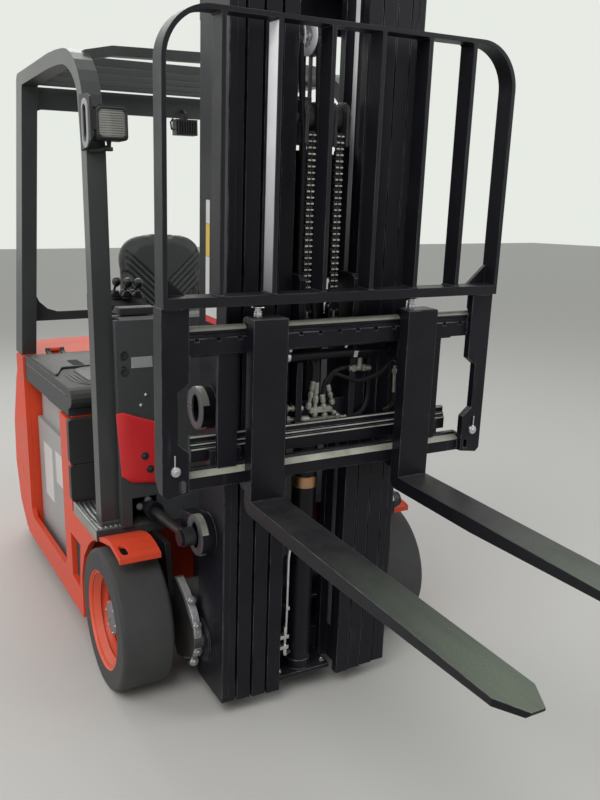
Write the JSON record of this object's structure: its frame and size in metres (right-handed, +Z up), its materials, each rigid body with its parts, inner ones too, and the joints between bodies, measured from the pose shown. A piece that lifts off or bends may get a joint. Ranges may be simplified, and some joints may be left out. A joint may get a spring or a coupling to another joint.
{
  "type": "electric three-wheel counterbalance forklift truck",
  "caption": "Electric three-wheel counterbalance forklift with a nested telescopic mast, side-shifting forks, load backrest, overhead guard, seat over a battery bay and solid cushion tyres.",
  "frame": {"origin": "on the floor, at the middle of the whole length and on the plane of symmetry of chassis and mast", "axes": "+Y from the fork tips back to the counterweight, +X to the truck's own left, +Z up"},
  "size_m": [1.106, 3.2668, 2.2226],
  "materials": {
    "anthracite": "satin",
    "battery_grey": "satin",
    "black_plastic": "matte",
    "cover_plastic": "matte",
    "fork_black": "satin",
    "iron": "rough",
    "mast_black": "satin",
    "orange": "gloss",
    "red_plastic": "matte",
    "rim_orange": "gloss",
    "rod_chrome": "polished",
    "steel": "brushed",
    "tyre": "matte",
    "vinyl": "satin"
  },
  "bodies": {
    "chassis": {"battery": "battery_grey", "chassis_frame": "orange", "frame_sides": "orange", "side_grilles": "black_plastic", "counterweight": "orange", "cowl": "cover_plastic", "cowl_tunnels": "cover_plastic", "cowl_panels": "red_plastic", "drive_axle": "iron", "floor_plate": "steel", "mudguards": "orange", "overhead_guard": "anthracite", "guard_roof_bars": "anthracite", "steering_column": "black_plastic", "work_lamps": "black_plastic", "work_lamp_rear": "black_plastic", "steer_bearing": "iron"},
    "hood": {"hood": "anthracite", "seat_back": "vinyl", "seat_base": "black_plastic", "seat_cushion": "vinyl", "armrest_console": "black_plastic", "levers": "black_plastic"},
    "mast_1": {"mast_stage_1": "mast_black", "lift_barrels": "mast_black"},
    "mast_2": {"mast_stage_2": "mast_black", "lift_rods": "rod_chrome"},
    "mast_3": {"mast_stage_3": "mast_black"},
    "mast_4": {"mast_stage_4": "mast_black", "free_lift_barrel": "mast_black"},
    "crosshead": {"crosshead": "iron", "lift_chains": "steel"},
    "carriage": {"carriage": "mast_black", "sideshift_barrel": "steel"},
    "sideshifter": {"sideshift_frame": "mast_black", "load_backrest": "fork_black", "fork_left": "fork_black", "fork_right": "fork_black"},
    "steer_bogie": {"steer_bogie": "iron"},
    "wheel_rear": {"wheel_rear": "rim_orange", "tyre_rear_left": "tyre", "tyre_rear_right": "tyre"},
    "steering_wheel": {"steering_wheel": "black_plastic"},
    "wheel_front_right": {"wheel_front_right": "rim_orange", "tyre_front_right": "tyre"},
    "tilt_barrel_right": {"tilt_barrel_right": "mast_black"},
    "tilt_rod_right": {"tilt_rod_right": "rod_chrome"},
    "wheel_front_left": {"wheel_front_left": "rim_orange", "tyre_front_left": "tyre"},
    "tilt_barrel_left": {"tilt_barrel_left": "mast_black"},
    "tilt_rod_left": {"tilt_rod_left": "rod_chrome"}
  },
  "joints": [
    {"name": "mast_tilt", "type": "hinge", "parent": "chassis", "child": "mast_1", "pos_m": [0, -0.27342, 0.20135], "axis": [1, 0, 0], "range_deg": [-6.9, 2.1]},
    {"name": "stage_2_slide", "type": "slide", "parent": "mast_1", "child": "mast_2", "axis": [0, -0.0506, 0.9987], "range_m": [0, 1.4]},
    {"name": "stage_3_slide", "type": "slide", "parent": "mast_2", "child": "mast_3", "axis": [0, -0.0506, 0.9987], "range_m": [0, 1.4]},
    {"name": "stage_4_slide", "type": "slide", "parent": "mast_3", "child": "mast_4", "axis": [0, -0.0506, 0.9987], "range_m": [0, 1.4]},
    {"name": "crosshead_slide", "type": "slide", "parent": "mast_4", "child": "crosshead", "axis": [0, -0.0506, 0.9987], "range_m": [-0.315, 0.25]},
    {"name": "carriage_slide", "type": "slide", "parent": "crosshead", "child": "carriage", "axis": [0, -0.0506, 0.9987], "range_m": [-0.315, 0.25], "deforming": ["lift_chains"]},
    {"name": "sideshift", "type": "slide", "parent": "carriage", "child": "sideshifter", "axis": [1, 0, 0], "range_m": [-0.1, 0.1]},
    {"name": "hood_lid", "type": "hinge", "parent": "chassis", "child": "hood", "pos_m": [0, 1.10545, 0.925], "axis": [1, 0, 0], "range_deg": [-70, 0]},
    {"name": "steer", "type": "hinge", "parent": "chassis", "child": "steer_bogie", "pos_m": [0, 1.36645, 0.3997], "axis": [0, 0, 1], "range_deg": [-90, 90]},
    {"name": "rear_wheel", "type": "hinge", "parent": "steer_bogie", "child": "wheel_rear", "pos_m": [0, 1.36645, 0.19], "axis": [1, 0, 0], "continuous": true},
    {"name": "steering_wheel_turn", "type": "hinge", "parent": "chassis", "child": "steering_wheel", "pos_m": [0.1, 0.20845, 1.29], "axis": [0, 0.4226, 0.9063], "continuous": true},
    {"name": "front_wheel_right", "type": "hinge", "parent": "chassis", "child": "wheel_front_right", "pos_m": [-0.45, -0.06355, 0.229], "axis": [1, 0, 0], "continuous": true},
    {"name": "tilt_barrel_swing_right", "type": "hinge", "parent": "chassis", "child": "tilt_barrel_right", "pos_m": [-0.362, 0.27845, 0.545], "axis": [1, 0, 0], "range_deg": [-2, 2]},
    {"name": "tilt_rod_slide_right", "type": "slide", "parent": "tilt_barrel_right", "child": "tilt_rod_right", "axis": [0, -0.9987, 0.0509], "range_m": [-0.06, 0.03]},
    {"name": "front_wheel_left", "type": "hinge", "parent": "chassis", "child": "wheel_front_left", "pos_m": [0.45, -0.06355, 0.229], "axis": [1, 0, 0], "continuous": true},
    {"name": "tilt_barrel_swing_left", "type": "hinge", "parent": "chassis", "child": "tilt_barrel_left", "pos_m": [0.362, 0.27845, 0.545], "axis": [1, 0, 0], "range_deg": [-2, 2]},
    {"name": "tilt_rod_slide_left", "type": "slide", "parent": "tilt_barrel_left", "child": "tilt_rod_left", "axis": [0, -0.9987, 0.0509], "range_m": [-0.06, 0.03]}
  ],
  "couplings": [
    {"joint": "stage_3_slide", "follows": "stage_2_slide", "ratio": 1},
    {"joint": "stage_4_slide", "follows": "stage_2_slide", "ratio": 1},
    {"joint": "carriage_slide", "follows": "crosshead_slide", "ratio": 1},
    {"joint": "tilt_rod_slide_right", "follows": "mast_tilt", "m_per_rad": 0.3739},
    {"joint": "tilt_barrel_swing_right", "follows": "mast_tilt", "ratio": 0.11745},
    {"joint": "tilt_rod_slide_left", "follows": "mast_tilt", "m_per_rad": 0.3739},
    {"joint": "tilt_barrel_swing_left", "follows": "mast_tilt", "ratio": 0.11745}
  ]
}
